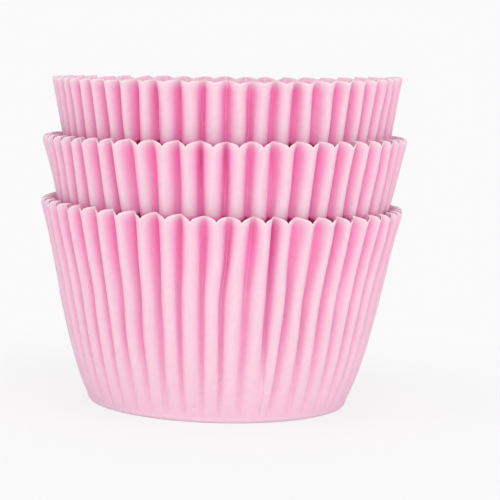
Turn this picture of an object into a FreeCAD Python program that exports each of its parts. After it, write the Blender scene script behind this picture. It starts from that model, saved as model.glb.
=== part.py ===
import FreeCAD, Part
import math
import os

# A stack of three pleated paper cupcake liners, each standing in the one below.
# Origin at the centre of the lower liner's floor, +Z up, front at -Y.
# Lengths are millimetres and angles are degrees.

# Driving sizes: name, value and what it is.
SIZES = (
    ("base_diameter", 50.4, "where the line of the wall meets the floor"),
    ("corner_inset", 0.7, "how far short of that line the flat floor ends"),
    ("corner_height", 1.2, "height at which the pleats begin"),
    ("liner_height", 38.8, "from the floor to the middle of the rim's folds"),
    ("lower_rim_diameter", 68.2, "rim of the lower liner, through the middle of its folds"),
    ("middle_rim_diameter", 68.4, "rim of the middle liner, through the middle of its folds"),
    ("upper_rim_diameter", 65.8, "rim of the upper liner, through the middle of its folds"),
    ("wall_belly", 0.9, "how far the wall swells past a straight line"),
    ("paper_thickness", 0.1, "one sheet"),
    ("pleat_count", 48, "pleats round one liner"),
    ("outer_fold_width", 1.3, "blunt edge of an outer fold at the rim"),
    ("inner_fold_width", 0.4, "blunt edge of an inner fold at the rim"),
    ("lower_turn", 0.92, "pleats of the lower liner, turned from the front towards +X"),
    ("middle_turn", -0.2, "pleats of the middle liner, turned likewise"),
    ("upper_turn", -0.9, "pleats of the upper liner, turned likewise"),
    ("lower_spread", -0.8, "how much further back the lower liner's pleats stand at its sides"),
    ("middle_spread", -0.8, "how much further back the middle liner's pleats stand"),
    ("upper_spread", -2.0, "how much further back the upper liner's pleats stand"),
    ("middle_lean", 0.45, "middle liner, leaning towards -X in the lower one"),
    ("upper_lean", 0.45, "upper liner, leaning towards -X in the middle one"),
    ("middle_tip", 0.7, "middle liner, tipped towards the back in the lower one"),
    ("upper_tip", -0.4, "upper liner, tipped likewise in the middle one"),
    ("middle_aside", 0.2, "middle liner's axis, this far towards +X of the lower one's"),
    ("upper_aside", 0.3, "upper liner's axis, this far towards +X of the middle one's"),
    ("seat_gap", 0.3, "air across from a rim to the wall that stands in it"),
)

# Shares of the wall's height at which its facets meet, from the corner to the rim.
WALL_LEVELS = (0.0, 0.12, 0.33, 0.62, 1.0)

# Skins of the sheet, as steps of half its thickness from its middle.
OUTER = 1
INNER = -1

# A swelling of u (1 - u)^2 peaks at a third of the height, and this factor makes the peak 1.
BELLY_PEAK = 27 / 4

# Corner points of one pleat: both edges of its inner fold, then both edges of its outer fold.
POINTS_PER_PLEAT = 4
SAME_POINT = 1e-6

# How finely the seats are searched: points along each facet of a rim, halvings of the lift, and
# rounds that find where on the evenly pleated liner a turned pleat came from.
RIM_SAMPLES = 6
SEAT_HALVINGS = 24
TURN_ROUNDS = 4


def make_sheet(document):
    """The spreadsheet with one named cell for each driving size."""
    sheet = document.addObject("Spreadsheet::Sheet", "sizes")
    for row, (name, value, meaning) in enumerate(SIZES, start=1):
        sheet.set(f"A{row}", meaning)
        sheet.set(f"B{row}", str(value))
        sheet.setAlias(f"B{row}", name)
    document.recompute()
    return sheet


class Liner:
    """One pleated cup. Heights are above its own floor, angles are from its front."""

    def __init__(self, sheet, name):
        self.name = name
        self.height = sheet.liner_height
        self.base_radius = sheet.base_diameter / 2
        self.rim_radius = sheet.get(name + "_rim_diameter") / 2
        self.belly = sheet.wall_belly
        self.floor_radius = self.base_radius - sheet.corner_inset
        self.corner_height = sheet.corner_height
        self.corner_radius = self.mid_radius(sheet.corner_height)
        self.half_paper = sheet.paper_thickness / 2
        self.pleats = int(sheet.pleat_count)
        self.inner_fold = sheet.inner_fold_width
        self.outer_fold = sheet.outer_fold_width
        self.turn = math.radians(sheet.get(name + "_turn"))
        self.spread = math.radians(sheet.get(name + "_spread"))

    def mid_radius(self, height):
        """Radius of the wall through the middle of its folds."""
        u = height / self.height
        straight = self.base_radius + (self.rim_radius - self.base_radius) * u
        return straight + self.belly * BELLY_PEAK * u * (1 - u) ** 2

    def slope(self, height):
        """Angle of the wall from upright."""
        u = height / self.height
        swell = self.belly * BELLY_PEAK * (1 - u) * (1 - 3 * u)
        return math.atan((self.rim_radius - self.base_radius + swell) / self.height)

    def pleat(self, height):
        """Depth of a pleat, widths of its blunt inner and outer folds, and width of a flank.

        The sheet was a flat disc and paper doesn't stretch, so it is as long round each ring of
        the wall as it was in that disc. What the narrower wall has no room for stands in pleats.
        """
        radius = self.mid_radius(height)
        rise = height - self.corner_height
        slant = math.hypot(radius - self.corner_radius, rise)
        paper = 2 * math.pi * (self.corner_radius + slant) / self.pleats
        pitch = 2 * math.pi * radius / self.pleats
        opened = (1 - rise / (self.height - self.corner_height)) ** 3
        inner = self.inner_fold + (pitch / 2 - self.inner_fold) * opened
        outer = self.outer_fold + (pitch / 2 - self.outer_fold) * opened
        flank = (paper - inner - outer) / 2
        run = (pitch - inner - outer) / 2
        depth = math.sqrt(max(flank ** 2 - run ** 2, 0.0))
        return depth, inner, outer, run

    def mitre(self, depth, run):
        """How far a fold's edge moves along the wall for each step of half the thickness."""
        return self.half_paper * math.tan(math.atan2(depth, run) / 2)

    def turned(self, angle):
        """True angle of an evenly spaced one: the whole liner is turned and its pleats spread."""
        return angle + self.turn + self.spread * math.sin(angle)

    def even(self, angle):
        """Evenly spaced angle of a true one."""
        guess = angle
        for _ in range(TURN_ROUNDS):
            guess = angle - self.turn - self.spread * math.sin(guess)
        return guess

    def ring(self, height, side):
        """Corner points of one skin round the liner, counterclockwise from the front."""
        depth, inner, outer, run = self.pleat(height)
        mitre = self.mitre(depth, run)
        radius = self.mid_radius(height)
        slope = self.slope(height)
        points = []
        for index in range(2 * self.pleats):
            fold_side, fold = (OUTER, outer) if index % 2 else (INNER, inner)
            across = fold_side * depth / 2 + side * self.half_paper
            half_fold = fold / 2 + fold_side * side * mitre
            centre = index * math.pi / self.pleats
            for edge in (-half_fold, half_fold):
                angle = self.turned(centre + edge / radius)
                out = radius + across * math.cos(slope)
                points.append(at_angle(out, angle, height - across * math.sin(slope)))
        return points

    def floor_ring(self, side):
        """The same corner points at the edge of the flat floor."""
        level = self.half_paper * (1 - side)
        return [
            at_angle(self.floor_radius, math.atan2(point.x, -point.y), level)
            for point in self.ring(self.corner_height, side)
        ]

    def skin(self, side):
        """Rings of one skin, from the edge of the floor to the rim."""
        wall = self.height - self.corner_height
        heights = [self.corner_height + wall * share for share in WALL_LEVELS]
        return [self.floor_ring(side)] + [self.ring(height, side) for height in heights]

    def radius_at(self, angle, height):
        """Radius of the outer skin at a true angle."""
        depth, inner, outer, run = self.pleat(height)
        pitch = inner + outer + 2 * run
        from_fold = abs((self.even(angle) * self.pleats / (2 * math.pi) + 0.5) % 1 - 0.5) * pitch
        up_flank = (from_fold - inner / 2 + self.mitre(depth, run)) / run
        level = min(max(up_flank, 0.0), 1.0)
        across = depth * (level - 0.5) + self.half_paper
        return self.mid_radius(height) + across / math.cos(self.slope(height))

    def solid(self):
        """The closed paper cup: two skins of folded facets, joined round the rim."""
        outer = self.skin(OUTER)
        inner = self.skin(INNER)
        faces = [floor_face(outer[0]), floor_face(inner[0])]
        for rings in (outer, inner):
            for low, high in zip(rings, rings[1:]):
                faces += band(low, high)
        faces += band(outer[-1], inner[-1])
        shell = Part.Shell(faces)
        shell.sewShape()
        cup = Part.Solid(shell)
        return cup if cup.Volume > 0 else cup.reversed()


def at_angle(radius, angle, height):
    """Point at an angle from the front, where a growing angle goes towards +X."""
    return FreeCAD.Vector(radius * math.sin(angle), -radius * math.cos(angle), height)


def floor_face(ring):
    """Flat face inside a ring whose neighbouring points may coincide."""
    corners = [p for p, q in zip(ring, ring[1:] + ring[:1]) if not p.isEqual(q, SAME_POINT)]
    return Part.Face(Part.makePolygon(corners + corners[:1]))


def facets(first, second, third):
    """One triangle of paper, or nothing where two of its corners coincide."""
    corners = (first, second, third)
    for one, other in zip(corners, corners[1:] + corners[:1]):
        if one.isEqual(other, SAME_POINT):
            return []
    return [Part.Face(Part.makePolygon(corners + corners[:1]))]


def band(low, high):
    """Facets between two rings.

    Each four-cornered patch is creased from the lower outer fold to the upper inner one, so it
    lies a little inside the smooth wall and never reaches a liner outside it.
    """
    faces = []
    count = len(low)
    for here in range(count):
        after = (here + 1) % count
        rises_to_outer_fold = here % POINTS_PER_PLEAT == 1
        if rises_to_outer_fold:
            faces += facets(low[here], low[after], high[here])
            faces += facets(low[after], high[after], high[here])
        else:
            faces += facets(low[here], low[after], high[after])
            faces += facets(low[here], high[after], high[here])
    return faces


def rim_points(liner):
    """Points close together along the inner edge of a rim."""
    ring = liner.ring(liner.height, INNER)
    points = []
    for start, end in zip(ring, ring[1:] + ring[:1]):
        points += [start + (end - start) * (step / RIM_SAMPLES) for step in range(RIM_SAMPLES)]
    return points


def standing_in(holder, lift, lean, tip, aside):
    """Placement of a liner in its holder, leaning and tipped about its axis at the holder's rim."""
    sideways = FreeCAD.Rotation(FreeCAD.Vector(0, 1, 0), -lean)
    backwards = FreeCAD.Rotation(FreeCAD.Vector(1, 0, 0), -tip)
    pivot = FreeCAD.Vector(0, 0, holder.height - lift)
    return FreeCAD.Placement(FreeCAD.Vector(aside, 0, lift), backwards * sideways, pivot)


def clearance(nested, placement, points):
    """Least radial gap between a rim's points and the nested liner's wall."""
    inverse = placement.inverse()
    gaps = []
    for point in points:
        local = inverse.multVec(point)
        wall = nested.radius_at(math.atan2(local.x, -local.y), local.z)
        gaps.append(math.hypot(local.x, local.y) - wall)
    return min(gaps)


def seated(holder, nested, sheet):
    """Placement at which the nested liner's pleats are stopped by the holder's rim."""
    lean = sheet.get(nested.name + "_lean")
    tip = sheet.get(nested.name + "_tip")
    aside = sheet.get(nested.name + "_aside")
    points = rim_points(holder)
    too_low = 0.0
    free = holder.height
    for _ in range(SEAT_HALVINGS):
        lift = (too_low + free) / 2
        if clearance(nested, standing_in(holder, lift, lean, tip, aside), points) < sheet.seat_gap:
            too_low = lift
        else:
            free = lift
    return standing_in(holder, free, lean, tip, aside)


def add_liner(document, liner, placement):
    """One liner as an object of the document."""
    item = document.addObject("Part::Feature", liner.name + "_liner")
    item.Label = liner.name + "_liner"
    item.Shape = liner.solid()
    item.Placement = placement
    return item


def check(document, items):
    """Stop before anything is written if an object failed or a shape is broken."""
    for entry in document.Objects:
        if "Invalid" in entry.State or "Error" in entry.State:
            raise RuntimeError(f"{entry.Label} failed: {entry.State}")
    for item in items:
        if item.Shape.isNull() or not item.Shape.isValid():
            raise RuntimeError(f"{item.Label} has no valid shape")


def main():
    document = FreeCAD.newDocument("cupcake_liners")
    sheet = make_sheet(document)
    lower = Liner(sheet, "lower")
    middle = Liner(sheet, "middle")
    upper = Liner(sheet, "upper")
    lower_place = FreeCAD.Placement()
    middle_place = seated(lower, middle, sheet)
    upper_place = middle_place * seated(middle, upper, sheet)
    items = [
        add_liner(document, lower, lower_place),
        add_liner(document, middle, middle_place),
        add_liner(document, upper, upper_place),
    ]
    document.recompute()
    check(document, items)
    os.makedirs("parts", exist_ok=True)
    for item in items:
        item.Shape.exportStep(f"parts/{item.Label}.step")
        rim = item.Placement.multVec(FreeCAD.Vector(0, 0, sheet.liner_height))
        print(f"{item.Label}: rim centre {rim.x:.2f}, {rim.z:.2f}, volume {item.Shape.Volume:.1f} mm3")


main()
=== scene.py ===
import math
import bpy
import numpy as np
from mathutils import Matrix, Quaternion, Vector


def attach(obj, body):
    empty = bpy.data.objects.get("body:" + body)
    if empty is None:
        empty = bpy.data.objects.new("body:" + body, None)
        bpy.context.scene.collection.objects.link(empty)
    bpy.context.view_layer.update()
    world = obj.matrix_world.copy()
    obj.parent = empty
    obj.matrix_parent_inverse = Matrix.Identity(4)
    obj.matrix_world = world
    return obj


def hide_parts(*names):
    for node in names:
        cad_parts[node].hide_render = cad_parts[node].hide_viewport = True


# A stack of three pleated paper cupcake liners. The front is -Y, as the photograph shows it.
# Shapes are worked out in millimetres in each liner's own frame, then seated where its solid is.

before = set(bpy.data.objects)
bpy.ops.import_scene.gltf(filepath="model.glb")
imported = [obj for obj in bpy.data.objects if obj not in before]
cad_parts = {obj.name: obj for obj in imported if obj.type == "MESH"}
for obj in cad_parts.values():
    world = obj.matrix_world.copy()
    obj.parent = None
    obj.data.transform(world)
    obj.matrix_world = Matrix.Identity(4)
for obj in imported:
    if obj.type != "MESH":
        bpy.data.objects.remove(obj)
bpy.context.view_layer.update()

MM = 0.001
SLOT = "pink_paper"

# Sizes that the solids have too. Only the flat of the floor reaches a little nearer the corner.
BASE_RADIUS = 25.2
FLOOR_RADIUS = 24.9
CORNER_HEIGHT = 1.2
LINER_HEIGHT = 38.8
BELLY = 0.9
PAPER = 0.1
PLEATS = 48
OUTER_FOLD = 1.3
INNER_FOLD = 0.4

# The swell of the wall goes as u * (1 - u) ** 2 of its height. This factor makes its peak BELLY.
BELLY_PEAK = 27 / 4

# Low on the wall the pleats are soft waves. They turn to sharp folds between these shares of it.
FOLDS_START = 0.45
FOLDS_FULL = 0.9

# Fineness of the mesh. Rows stand closer together towards the rim.
COLUMNS_PER_PLEAT = 20
WALL_ROWS = 38
ROW_CROWDING = 1.5
CORNER_ROWS = 4
FLOOR_ROWS = 5
FLOOR_HUB = 0.04

# Section of a pleat: its valley is narrow where the power is high, its flanks are steep and its
# outer fold is the wider one.
VALLEY_POWER_RIM = 2.5
VALLEY_POWER_FOOT = 3.2
FLANK_STEEPNESS = 0.15
OUTER_WIDENING = 0.5

# Next to the rim the valleys come forward into a lip.
LIP_HEIGHT = 2.0
LIP_SHARE = 0.35

# The cut edge runs level but for wide humps over the valleys, with a notch at each outer fold.
# It is shaped over the last share of the wall.
EDGE_START = 0.8
LEVELLED = 0.8
HUMP_POWER = 0.6

# Shares of the wall: where the middle value of three stands, where pinches start, and over how
# much of it creases grow from nothing at the corner of the floor.
MIDDLE_SHARE = 0.55
PINCH_START = 0.6
CREASE_START = 0.15

# The gather of the pleats towards the front is strongest just at -X and +X.
GATHER_POWER = 5

# Chance in the folds: angle in degrees, share of the depth, share of the valley's power and rim
# height in millimetres, each with its limits. Some of it changes up each fold, from knot to knot.
FOLD_KNOTS = 6
FOLD_WANDER = 0.22
WANDER_LIMIT = 0.4
DEPTH_CHANCE = 0.08
DEPTH_LIMITS = (-0.2, 0.1)
POWER_CHANCE = 0.15
POWER_LIMITS = (-0.2, 0.25)
RIM_CHANCE = 0.12
RIM_DIP = 0.2

# Each liner: rim radius through the folds, turn of its pleats at the front and how much more they
# are turned behind, both in degrees, and a random seed.
# West and east are how far the pleats at -X and +X are gathered towards the front, and strays are
# valleys out of place, counted from the front towards +X: degrees at foot, middle and rim.
# Creases are valleys that are deeper, or shallower where negative: millimetres at foot, middle and
# rim.
# Pinches are valleys that are narrower at the rim, or wider where negative: what they add to the
# valley's power there.
# Hump is the height of the humps on the cut edge, rise is how far it stands higher than its own
# plane at -X and at +X, and curl is how much more it stands up just at +X: millimetres.
# Holder is the liner that this one stands in.
LINERS = {
    "lower": dict(
        rim=34.1, turn=2.45, behind=0.0, west=(2.1, 2.1, 2.1), east=(2.4, 2.4, 2.4),
        hump=1.0, rise=(0.4, 0.0), curl=0.0, holder=None, seed=3,
        strays={-10: (0.0, 1.0, -1.0), -9: (0.0, 1.0, -1.0), -8: (0.0, 1.0, -0.5), -7: (0.0, 0.5, -0.7),
                -6: (0.0, 0.5, -0.5), -5: (0.0, 0.0, -0.7), -2: (0.0, 0.0, 0.5), -1: (0.0, 0.0, 0.5),
                0: (-0.7, -0.7, 0.5), 1: (0.0, -0.4, 0.7), 2: (1.0, 0.0, -0.2), 3: (-2.1, -0.7, -0.8),
                4: (0.0, -1.2, 0.0), 5: (0.5, -1.5, -0.6), 6: (0.3, -1.0, 0.0), 7: (0.5, -0.8, 0.3),
                8: (0.0, -1.3, 0.0), 9: (0.0, -1.5, 0.0)},
        creases={2: (-0.8, 0.4, 0.4), 3: (0.2, 0.1, -0.3), 4: (0.1, 0.0, -0.3)},
        pinches={0: -1.0, 1: 0.3, 2: 0.3, 3: -1.0, 4: -1.0}),
    "middle": dict(
        rim=34.2, turn=1.15, behind=0.9, west=(2.1, 2.1, 6.5), east=(2.4, 2.4, 4.2),
        hump=1.0, rise=(-0.2, 0.5), curl=0.0, holder="lower", seed=5,
        strays={-7: (0.0, 0.0, -0.5), -6: (0.0, 0.0, -0.7), -5: (0.0, 0.0, -0.9), -4: (0.0, 0.0, -1.3),
                -3: (0.0, -0.5, -0.4), 4: (0.0, 0.0, 0.5), 5: (0.0, 0.0, 0.8), 7: (0.0, -0.6, 0.2),
                8: (0.0, -0.5, 0.5), 9: (0.0, -0.4, 0.7)},
        creases={-1: (0.0, 0.1, 0.1), 0: (0.0, 0.1, 0.1)},
        pinches={-1: 3.0, 0: 2.5}),
    "upper": dict(
        rim=32.9, turn=0.75, behind=1.1, west=(2.1, 5.5, 8.2), east=(2.4, 3.6, 6.5),
        hump=0.4, rise=(-0.05, -0.05), curl=0.9, holder="middle", seed=8,
        strays={-5: (0.0, 0.0, -0.6), -4: (0.0, -1.5, -0.5), -3: (0.0, -1.5, -0.8), -2: (0.0, -1.0, -0.2),
                -1: (0.0, -0.8, 0.0), 4: (0.0, 0.5, -0.5), 5: (0.0, 0.0, 0.5), 6: (0.0, 0.0, 0.5),
                7: (0.0, -1.5, 0.0), 8: (0.0, -2.5, 0.2), 9: (0.0, -2.0, 0.7), 10: (0.0, -0.5, 0.5)},
        creases={}, pinches={}),
}

# The painted shading of the paper darkens its colour with painted shade: about 0 on an outer fold,
# and near the rim about 1 in a valley. The first power says how soon the painted shade deepens
# towards the valley, and the other two values paint a darker line of shade along the valley's bottom.
VALLEY_SHADE_POWER = 1.25
VALLEY_SHADE_LINE = 0.2
VALLEY_SHADE_LINE_POWER = 12

# The painted shade grows with height, in two steps, and with a crease's depth or a pinch's tightness.
LOW_VALLEY_SHADE = 0.42
LOW_VALLEY_SHADE_HEIGHTS = (-4.0, 20.0)
HIGH_VALLEY_SHADE = 0.38
HIGH_VALLEY_SHADE_HEIGHTS = (24.0, 35.0)
CREASE_SHADE = 0.25
PINCH_SHADE = 0.1

# Just below the rim the painted valley shade fades to a share of it, as painted light on the lip,
# and a painted highlight makes the cut edge paler still.
LIP_SHADE_SHARE = 0.25
LIP_LIGHT_HEIGHT = 0.5
EDGE_HIGHLIGHT_HEIGHT = 0.6
EDGE_HIGHLIGHT = 0.3

# The colour deepens a little towards the corner of the floor.
FOOT_HEIGHT = 12.0
FOOT_DEEPENING = 0.08

# Close above the holder's rim painted shade deepens the valleys and painted light makes the outer
# folds paler, and in the gap below it painted shade makes both dark. The skin inside the cup is
# paler: it gets only a share of the wall's painted shading.
GAP_HEIGHT = 5.0
GAP_SHADE = 0.5
GAP_LIGHT = 0.03
SHADE_HEIGHTS = (0.6, -0.4)
PAINTED_GAP_SHADE = 1.5
INNER_SKIN_SHADING = 0.6

# Colours over the range of the painted shading, place from 0 to 1: a painted highlight for the cut
# edge, the paper's own pink on the outer folds, then painted shade, deepest in the gaps.
SHADING_LOW = -0.3
SHADING_HIGH = 1.6
PAPER_COLOURS_AND_SHADING = (
    (0.0, (0.93, 0.8, 0.85, 1)),
    (0.17, (0.905, 0.625, 0.73, 1)),
    (0.375, (0.92, 0.415, 0.625, 1)),
    (0.58, (0.96, 0.31, 0.6, 1)),
    (0.75, (0.96, 0.24, 0.54, 1)),
    (1.0, (0.5, 0.04, 0.18, 1)),
)

# A face of a solid is part of its floor's underside where its normal points down by this much.
DOWNWARD = -0.99

# The camera, from the photograph: a long lens a little above the rims, rolled about two degrees.
# Its place, aim and sensor are in millimetres, and how far it sees is in metres.
PHOTO_PIXELS = 500
PIXELS_PER_MM = 5.064
CAMERA_PLACE = (6.7, -379.0, 70.3)
AIM = (5.67, 0.0, 29.96)
CAMERA_ROLL = math.radians(1.87)
SENSOR = 36.0
SIGHT_LIMIT = 1000

# Soft boxes: place and side in millimetres, and power in watts. All shine on one point.
LAMPS = {
    "front": ((60, -730, 230), 600, 2.22),
    "left": ((-600, -300, 250), 450, 1.08),
    "right": ((600, -300, 250), 450, 1.1),
    "back": ((0, 700, 330), 600, 1.2),
    "top": ((0, -50, 650), 500, 1.2),
}
LAMP_AIM = (0, 0, 30)
WORLD_LIGHT = 0.4

# Tone of the floor and the backdrop as the camera sees them. The floor shows more of its own
# shading within the first distance from the middle, and only this tone past the second: metres.
BACKDROP_TONE = (0.956, 0.956, 0.956, 1)
FLOOR_SIZE = 400
SHADOW_NEAR = 0.03
SHADOW_FAR = 0.11
TONE_NEAR = 0.8


def smooth(low, high, value):
    """0 at low, 1 at high, with a soft passage between; low may be the greater."""
    t = np.clip((value - low) / (high - low), 0.0, 1.0)
    return t * t * (3 - 2 * t)


def mid_radius(height, rim):
    """Radius of the wall through the middle of its folds."""
    u = height / LINER_HEIGHT
    return BASE_RADIUS + (rim - BASE_RADIUS) * u + BELLY * BELLY_PEAK * u * (1 - u) ** 2


def slope(height, rim):
    """Angle of the wall from upright."""
    u = height / LINER_HEIGHT
    swell = BELLY * BELLY_PEAK * (1 - u) * (1 - 3 * u)
    return np.arctan((rim - BASE_RADIUS + swell) / LINER_HEIGHT)


def pleat_depth(height, rim):
    """Depth of a pleat: the paper that has no room round the wall stands in it."""
    radius = mid_radius(height, rim)
    corner = mid_radius(CORNER_HEIGHT, rim)
    slant = np.hypot(radius - corner, height - CORNER_HEIGHT)
    paper = 2 * math.pi * (corner + slant) / PLEATS
    pitch = 2 * math.pi * radius / PLEATS
    folds = INNER_FOLD + OUTER_FOLD
    flank = (paper - folds) / 2
    run = (pitch - folds) / 2
    sharp = np.sqrt(np.maximum(flank ** 2 - run ** 2, 0.0))
    shallow = 2 * pitch / math.pi * np.sqrt(np.maximum(paper / pitch - 1, 0.0))
    return shallow + (sharp - shallow) * smooth(FOLDS_START, FOLDS_FULL, height / LINER_HEIGHT)


def between_folds(values, along):
    """Values at the fold lines, eased from each to the next; along counts half pleats."""
    here = np.floor(along).astype(int)
    part = along - here
    ease = part * part * (3 - 2 * part)
    count = len(values)
    return values[here % count] * (1 - ease) + values[(here + 1) % count] * ease


def along_folds(knots, share, along):
    """Values that change along each fold line too: rows of knots are spread from corner to rim."""
    rows = np.stack([between_folds(row, 2 * along) for row in knots])
    upward = np.clip(share[:, 0] * (len(knots) - 1), 0.0, len(knots) - 1.001)
    here = np.floor(upward).astype(int)
    ease = smooth(0.0, 1.0, upward - here)[:, None]
    return rows[here] * (1 - ease) + rows[here + 1] * ease


def by_height(table, share):
    """Values of a table of foot, middle and rim for every valley, at shares of the height."""
    values = np.zeros((PLEATS, 3))
    for valley, row in table.items():
        values[valley % PLEATS] = row
    foot, middle, rim = values.T
    low = foot + (middle - foot) * smooth(0.0, MIDDLE_SHARE, share)
    return low + (rim - middle) * smooth(MIDDLE_SHARE, 1.0, share)


def valley_pinch(pinches, share, valley):
    """The power that pinched valleys have more than the others."""
    pinch = np.zeros(PLEATS)
    for number, extra in pinches.items():
        pinch[number % PLEATS] = extra
    return pinch[valley] * smooth(PINCH_START, 1.0, share)


def pleat_section(chance, share, along, heights, valley, pinched):
    """How far the sheet stands out from the middle of its folds, in half depths of a pleat.

    Also how near each point is to the bottom of its valley, from 0 to 1.
    """
    power = VALLEY_POWER_FOOT + (VALLEY_POWER_RIM - VALLEY_POWER_FOOT) * share
    power = power * (1 + chance.normal(0.0, POWER_CHANCE, PLEATS).clip(*POWER_LIMITS)[valley])
    pressed = np.abs(np.cos(math.pi * along)) ** (power + pinched)
    lip = 1 - LIP_SHARE * smooth(LINER_HEIGHT - LIP_HEIGHT, LINER_HEIGHT, heights)
    valley_depth = (1 + chance.normal(0.0, DEPTH_CHANCE, PLEATS).clip(*DEPTH_LIMITS))[valley]
    ridge_depth = 1 - np.abs(chance.normal(0.0, DEPTH_CHANCE, 2 * PLEATS))
    ridge = between_folds(ridge_depth, 2 * along)
    uneven = along_folds(chance.normal(0.0, DEPTH_CHANCE, (FOLD_KNOTS, 2 * PLEATS)), share, along)
    across = (ridge - (ridge + valley_depth) * lip * pressed) * (1 - np.abs(uneven))
    return across, pressed


def even_places(along):
    """Places round an even cup, in pleats, moved so that flanks are steep and outer folds wide."""
    part = along - np.floor(along)
    steeper = FLANK_STEEPNESS / (4 * math.pi) * np.sin(4 * math.pi * part)
    wider = OUTER_WIDENING / (2 * math.pi) * np.sin(2 * math.pi * part)
    return along + steeper - wider


def fold_angles(chance, share, along, place, turn, behind, west, east, strays):
    """Angle of each point round the cup, from the front towards +X."""
    knots = chance.normal(0.0, FOLD_WANDER, (FOLD_KNOTS, 2 * PLEATS))
    wander = along_folds(knots.clip(-WANDER_LIMIT, WANDER_LIMIT), share, along)
    astray = by_height(strays, share)
    beside = (astray + np.roll(astray, -1, axis=1)) / 2
    between = np.stack([astray, beside], axis=-1).reshape(len(astray), 2 * PLEATS)
    wander = wander + np.stack([between_folds(row, 2 * along) for row in between])
    even = 2 * math.pi * place / PLEATS
    aside = np.sin(even)
    gather = by_height({0: west, 1: east}, share)
    gathered = np.where(aside < 0, gather[:, :1], gather[:, 1:2]) * aside ** GATHER_POWER
    turned = turn + behind * (1 - np.cos(even)) / 2
    return even + np.radians(turned + wander - gathered)


def cut_edge(chance, along, place, angle, hump, rise, curl):
    """How far the cut edge stands above its own plane."""
    dip = between_folds(chance.normal(0.0, RIM_CHANCE, 2 * PLEATS), 2 * along).clip(-RIM_DIP, 0.0)
    humps = hump * (np.abs(np.cos(math.pi * place)) ** HUMP_POWER - 0.5) + dip
    west_rise, east_rise = rise
    eastward = np.sin(angle)
    lifted = humps + (west_rise + east_rise) / 2 + (east_rise - west_rise) / 2 * eastward
    return lifted + curl * eastward.clip(0.0, 1.0) ** 3


def wall_painted_shading(along, heights, crease, pinched):
    """Painted shade and highlight on each point of the wall, and a deeper colour at its foot."""
    inward = np.abs(np.cos(math.pi * along))
    below_lip = smooth(LINER_HEIGHT - LIP_LIGHT_HEIGHT, LINER_HEIGHT - LIP_HEIGHT, heights)
    valley_shade = inward ** VALLEY_SHADE_POWER + VALLEY_SHADE_LINE * inward ** VALLEY_SHADE_LINE_POWER
    valley_shade = valley_shade * (LIP_SHADE_SHARE + (1 - LIP_SHADE_SHARE) * below_lip)
    low_valley_shade = LOW_VALLEY_SHADE * smooth(*LOW_VALLEY_SHADE_HEIGHTS, heights)
    high_valley_shade = HIGH_VALLEY_SHADE * smooth(*HIGH_VALLEY_SHADE_HEIGHTS, heights)
    painted_shading = valley_shade * (low_valley_shade + high_valley_shade + CREASE_SHADE * crease)
    painted_shading = painted_shading + FOOT_DEEPENING * smooth(FOOT_HEIGHT, 0.0, heights)
    painted_shading = painted_shading * (1 + PINCH_SHADE * np.maximum(pinched, 0.0))
    return painted_shading - EDGE_HIGHLIGHT * smooth(LINER_HEIGHT - EDGE_HIGHLIGHT_HEIGHT, LINER_HEIGHT, heights)


def gap_painted_shading(points, painted_shading, seat, holder):
    """Painted shade and light on the outer skin where it goes down into the holder, by its rim.

    Points are in millimetres in the liner's own frame.
    """
    centre, axis = seat_of(holder + "_liner")
    turned = points @ np.array(seat.to_3x3()).T + np.array(seat.translation) / MM
    above = (turned - np.array(centre) / MM) @ np.array(axis) - LINER_HEIGHT
    near = smooth(GAP_HEIGHT, 0.0, above)
    shade = smooth(*SHADE_HEIGHTS, above)
    return painted_shading * (1 + GAP_SHADE * near) - GAP_LIGHT * near + PAINTED_GAP_SHADE * shade


def wall_grid(rim, turn, behind, west, east, hump, rise, curl, seed, strays, creases, pinches):
    """Points of the middle of the sheet on the wall, rows from the corner to the rim.

    Also the painted shading of each.
    """
    chance = np.random.default_rng(seed)
    share = (1 - (1 - np.linspace(0.0, 1.0, WALL_ROWS)) ** ROW_CROWDING)[:, None]
    heights = CORNER_HEIGHT + (LINER_HEIGHT - CORNER_HEIGHT) * share
    along = np.arange(PLEATS * COLUMNS_PER_PLEAT) / COLUMNS_PER_PLEAT
    valley = np.round(along).astype(int) % PLEATS

    pinched = valley_pinch(pinches, share, valley)
    across, pressed = pleat_section(chance, share, along, heights, valley, pinched)
    place = even_places(along)
    angle = fold_angles(chance, share, along, place, turn, behind, west, east, strays)
    lifted = cut_edge(chance, along, place, angle, hump, rise, curl)
    crease = by_height(creases, share)[:, valley] * pressed * smooth(0.0, CREASE_START, share)

    offset = across * pleat_depth(heights, rim) / 2 - crease
    tilt = slope(heights, rim)
    radius = mid_radius(heights, rim) + offset * np.cos(tilt)
    near = smooth(EDGE_START, 1.0, share)
    level = heights - offset * np.sin(tilt) * (1 - LEVELLED * near) + lifted * near
    points = np.stack([radius * np.sin(angle), -radius * np.cos(angle), level], axis=-1)
    return points, wall_painted_shading(along, heights, crease, pinched)


def floor_grid(corner_ring):
    """Rows of the sheet from the centre of the floor out to the start of the wall."""
    flat = corner_ring * np.array([1.0, 1.0, 0.0])
    length = np.linalg.norm(flat, axis=-1, keepdims=True)
    towards = flat / length
    corner_radius = length.mean()
    rows = []
    for share in np.linspace(FLOOR_HUB, 1.0, FLOOR_ROWS):
        rows.append(towards * FLOOR_RADIUS * share)
    for turn in np.linspace(0.0, 1.0, CORNER_ROWS + 1)[1:-1]:
        out = FLOOR_RADIUS + (corner_radius - FLOOR_RADIUS) * math.sin(turn * math.pi / 2)
        up = CORNER_HEIGHT * (1 - math.cos(turn * math.pi / 2))
        rows.append(towards * out + np.array([0.0, 0.0, up]))
    return np.stack(rows)


def sheet_normals(grid):
    """Unit normals of a closed grid of points, pointing out of the cup."""
    round_way = np.roll(grid, -1, axis=1) - np.roll(grid, 1, axis=1)
    up_way = np.gradient(grid, axis=0)
    normal = np.cross(round_way, up_way)
    return normal / np.linalg.norm(normal, axis=-1, keepdims=True)


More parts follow.
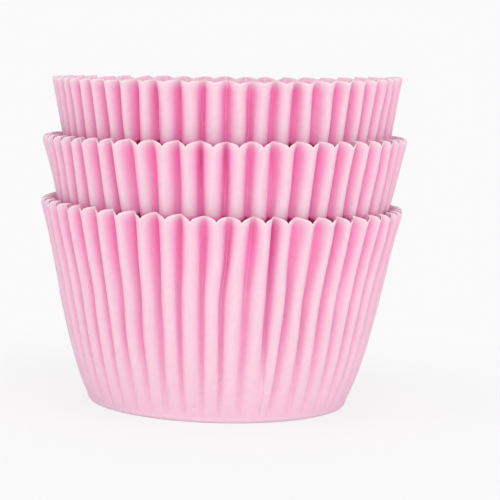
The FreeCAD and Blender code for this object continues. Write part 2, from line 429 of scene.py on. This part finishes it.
def grid_faces(rows, columns, start, flip):
    """Quads of a closed grid whose points are numbered row by row from start."""
    row, column = np.meshgrid(np.arange(rows - 1), np.arange(columns), indexing="ij")
    after = (column + 1) % columns
    low = start + row * columns
    high = low + columns
    quads = np.stack([low + column, low + after, high + after, high + column], axis=-1)
    quads = quads.reshape(-1, 4)
    return quads[:, ::-1] if flip else quads


def sheet_faces(rows, columns):
    """Faces of both skins, of the cut edge that joins them and of the middle of the floor."""
    count = rows * columns
    faces = grid_faces(rows, columns, 0, False).tolist()
    faces += grid_faces(rows, columns, count, True).tolist()
    last = count - columns
    for column in range(columns):
        after = (column + 1) % columns
        faces.append([last + column, last + after, count + last + after, count + last + column])
        faces.append([after, column, 2 * count])
        faces.append([count + column, count + after, 2 * count + 1])
    return faces


def liner_mesh(name, seat, holder, **shape):
    """A closed paper cup: outer and inner skin of one sheet, joined round the rim."""
    wall, painted_shading = wall_grid(**shape)
    base = floor_grid(wall[0])
    grid = np.concatenate([base, wall])
    grid[:, :, 2] += PAPER / 2
    painted_shading = np.concatenate([np.zeros(base.shape[:2]), painted_shading])
    normal = sheet_normals(grid)
    outer = grid + normal * PAPER / 2
    inner = grid - normal * PAPER / 2
    centre = np.array([[0.0, 0.0, 0.0], [0.0, 0.0, PAPER]])
    points = np.concatenate([outer.reshape(-1, 3), inner.reshape(-1, 3), centre]) * MM
    mesh = bpy.data.meshes.new(name)
    mesh.from_pydata(points.tolist(), [], sheet_faces(*grid.shape[:2]))
    mesh.validate()
    # Painted shade and highlight are kept on the points; the inner skin gets a share of them.
    shaded = painted_shading if holder is None else gap_painted_shading(outer, painted_shading, seat, holder)
    pressed = np.concatenate([shaded.ravel(), INNER_SKIN_SHADING * painted_shading.ravel(), [0.0, 0.0]])
    values = mesh.attributes.new("painted_shading", "FLOAT", "POINT").data
    values.foreach_set("value", pressed.astype(np.float32))
    mesh.shade_smooth()
    return mesh


def seat_of(node):
    """Where a solid's flat floor is: its centre and the direction up through the cup."""
    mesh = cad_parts[node].data
    axis = Vector()
    centre = Vector()
    area = 0.0
    for polygon in mesh.polygons:
        if polygon.normal.z < DOWNWARD:
            axis -= polygon.normal * polygon.area
            centre += polygon.center * polygon.area
            area += polygon.area
    return centre / area, axis.normalized()


def add_liner(name, material):
    """One liner, seated where its solid stands."""
    node = name + "_liner"
    centre, axis = seat_of(node)
    lean = Vector((0.0, 0.0, 1.0)).rotation_difference(axis)
    seat = Matrix.Translation(centre) @ lean.to_matrix().to_4x4()
    mesh = liner_mesh(name + "_paper", seat, **LINERS[name])
    mesh.transform(seat)
    piece = bpy.data.objects.new(name + "_paper", mesh)
    bpy.context.scene.collection.objects.link(piece)
    mesh.materials.append(material)
    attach(piece, "root")
    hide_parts(node)


def link(tree, source, output, target, socket):
    """Join two sockets of a node tree."""
    tree.links.new(source.outputs[output], target.inputs[socket])


def map_range(tree, source, output, low, high, to_low, to_high):
    """A node that moves a value from the range low to high to another range."""
    node = tree.nodes.new("ShaderNodeMapRange")
    node.inputs["From Min"].default_value = low
    node.inputs["From Max"].default_value = high
    node.inputs["To Min"].default_value = to_low
    node.inputs["To Max"].default_value = to_high
    link(tree, source, output, node, "Value")
    return node


def shading_ramp(tree):
    """A ramp from painted highlight through the paper's pink to painted shade, led by each point."""
    painted_shading = tree.nodes.new("ShaderNodeAttribute")
    painted_shading.attribute_name = "painted_shading"
    lifted = map_range(tree, painted_shading, "Fac", SHADING_LOW, SHADING_HIGH, 0.0, 1.0)
    ramp = tree.nodes.new("ShaderNodeValToRGB")
    link(tree, lifted, "Result", ramp, "Fac")
    ramp_stops = ramp.color_ramp.elements
    for end in (0, -1):
        ramp_stops[end].position, ramp_stops[end].color = PAPER_COLOURS_AND_SHADING[end]
    for position, colour in PAPER_COLOURS_AND_SHADING[1:-1]:
        ramp_stops.new(position).color = colour
    return ramp


def paper_material():
    """Pink baking paper, with painted shade in valleys and gaps and a painted highlight on the edge."""
    material = bpy.data.materials.new(SLOT)
    material.use_nodes = True
    tree = material.node_tree
    nodes = tree.nodes
    shader = nodes["Principled BSDF"]
    shader.inputs["Roughness"].default_value = 0.6
    shader.inputs["Specular IOR Level"].default_value = 0.3
    shader.inputs["Sheen Weight"].default_value = 0.3
    shader.inputs["Sheen Roughness"].default_value = 0.35
    shader.inputs["Sheen Tint"].default_value = (1.0, 0.85, 0.92, 1)
    place = nodes.new("ShaderNodeTexCoord")
    mottle = nodes.new("ShaderNodeTexNoise")
    mottle.inputs["Scale"].default_value = 900
    mottle.inputs["Detail"].default_value = 4
    link(tree, place, "Object", mottle, "Vector")
    fibre = map_range(tree, mottle, "Fac", 0.3, 0.7, 0.96, 1.01)
    tint = nodes.new("ShaderNodeVectorMath")
    tint.operation = "SCALE"
    link(tree, shading_ramp(tree), "Color", tint, 0)
    link(tree, fibre, "Result", tint, "Scale")
    link(tree, tint, "Vector", shader, "Base Color")
    bump = nodes.new("ShaderNodeBump")
    bump.inputs["Strength"].default_value = 0.15
    bump.inputs["Distance"].default_value = 0.00003
    link(tree, mottle, "Fac", bump, "Height")
    link(tree, bump, "Normal", shader, "Normal")
    return material


def add_camera():
    """The photograph's view."""
    data = bpy.data.cameras.new("camera")
    data.sensor_width = SENSOR
    data.clip_end = SIGHT_LIMIT
    eye = Vector(CAMERA_PLACE)
    sight = Vector(AIM) - eye
    data.lens = SENSOR * sight.length * PIXELS_PER_MM / PHOTO_PIXELS
    camera = bpy.data.objects.new("camera", data)
    camera.location = eye * MM
    look = sight.to_track_quat("-Z", "Y")
    camera.rotation_mode = "QUATERNION"
    camera.rotation_quaternion = look @ Quaternion((0, 0, 1), CAMERA_ROLL)
    bpy.context.scene.collection.objects.link(camera)
    bpy.context.scene.camera = camera


def add_lamp(name, place, side, power):
    """A square soft box."""
    data = bpy.data.lights.new(name, "AREA")
    data.size = side * MM
    data.energy = power
    lamp = bpy.data.objects.new(name, data)
    lamp.location = Vector(place) * MM
    lamp.rotation_euler = (Vector(LAMP_AIM) - Vector(place)).to_track_quat("-Z", "Y").to_euler()
    bpy.context.scene.collection.objects.link(lamp)


def add_world():
    """Even light from all round, with the backdrop's own tone where the camera sees it."""
    world = bpy.data.worlds.new("studio")
    bpy.context.scene.world = world
    world.use_nodes = True
    tree = world.node_tree
    lit = tree.nodes["Background"]
    lit.inputs["Color"].default_value = (1, 1, 1, 1)
    lit.inputs["Strength"].default_value = WORLD_LIGHT
    seen = tree.nodes.new("ShaderNodeBackground")
    seen.inputs["Color"].default_value = BACKDROP_TONE
    path = tree.nodes.new("ShaderNodeLightPath")
    mix = tree.nodes.new("ShaderNodeMixShader")
    link(tree, path, "Is Camera Ray", mix, 0)
    link(tree, lit, 0, mix, 1)
    link(tree, seen, 0, mix, 2)
    link(tree, mix, 0, tree.nodes["World Output"], "Surface")


def floor_material():
    """Pale matt floor, which shows the camera mostly the backdrop's tone, and a little shadow."""
    material = bpy.data.materials.new("pale_floor")
    material.use_nodes = True
    tree = material.node_tree
    nodes = tree.nodes
    shader = nodes["Principled BSDF"]
    shader.inputs["Base Color"].default_value = (0.93, 0.93, 0.93, 1)
    shader.inputs["Roughness"].default_value = 0.9
    shader.inputs["Specular IOR Level"].default_value = 0.1
    seen = nodes.new("ShaderNodeEmission")
    seen.inputs["Color"].default_value = BACKDROP_TONE
    place = nodes.new("ShaderNodeTexCoord")
    away = nodes.new("ShaderNodeVectorMath")
    away.operation = "LENGTH"
    link(tree, place, "Object", away, 0)
    even = map_range(tree, away, "Value", SHADOW_NEAR, SHADOW_FAR, TONE_NEAR, 1.0)
    even.interpolation_type = "SMOOTHSTEP"
    path = nodes.new("ShaderNodeLightPath")
    share = nodes.new("ShaderNodeMath")
    share.operation = "MULTIPLY"
    link(tree, path, "Is Camera Ray", share, 0)
    link(tree, even, "Result", share, 1)
    mix = nodes.new("ShaderNodeMixShader")
    link(tree, share, 0, mix, 0)
    link(tree, shader, 0, mix, 1)
    link(tree, seen, 0, mix, 2)
    link(tree, mix, 0, nodes["Material Output"], "Surface")
    return material


def add_floor():
    """The plane that the stack stands on."""
    bpy.ops.mesh.primitive_plane_add(size=FLOOR_SIZE, location=(0, 0, 0))
    floor = bpy.context.object
    floor.name = "floor"
    floor.data.materials.append(floor_material())


bpy.context.scene.view_settings.view_transform = "Standard"
paper = paper_material()
for liner in LINERS:
    add_liner(liner, paper)
add_camera()
for lamp_name, (lamp_place, lamp_side, lamp_power) in LAMPS.items():
    add_lamp(lamp_name, lamp_place, lamp_side, lamp_power)
add_world()
add_floor()
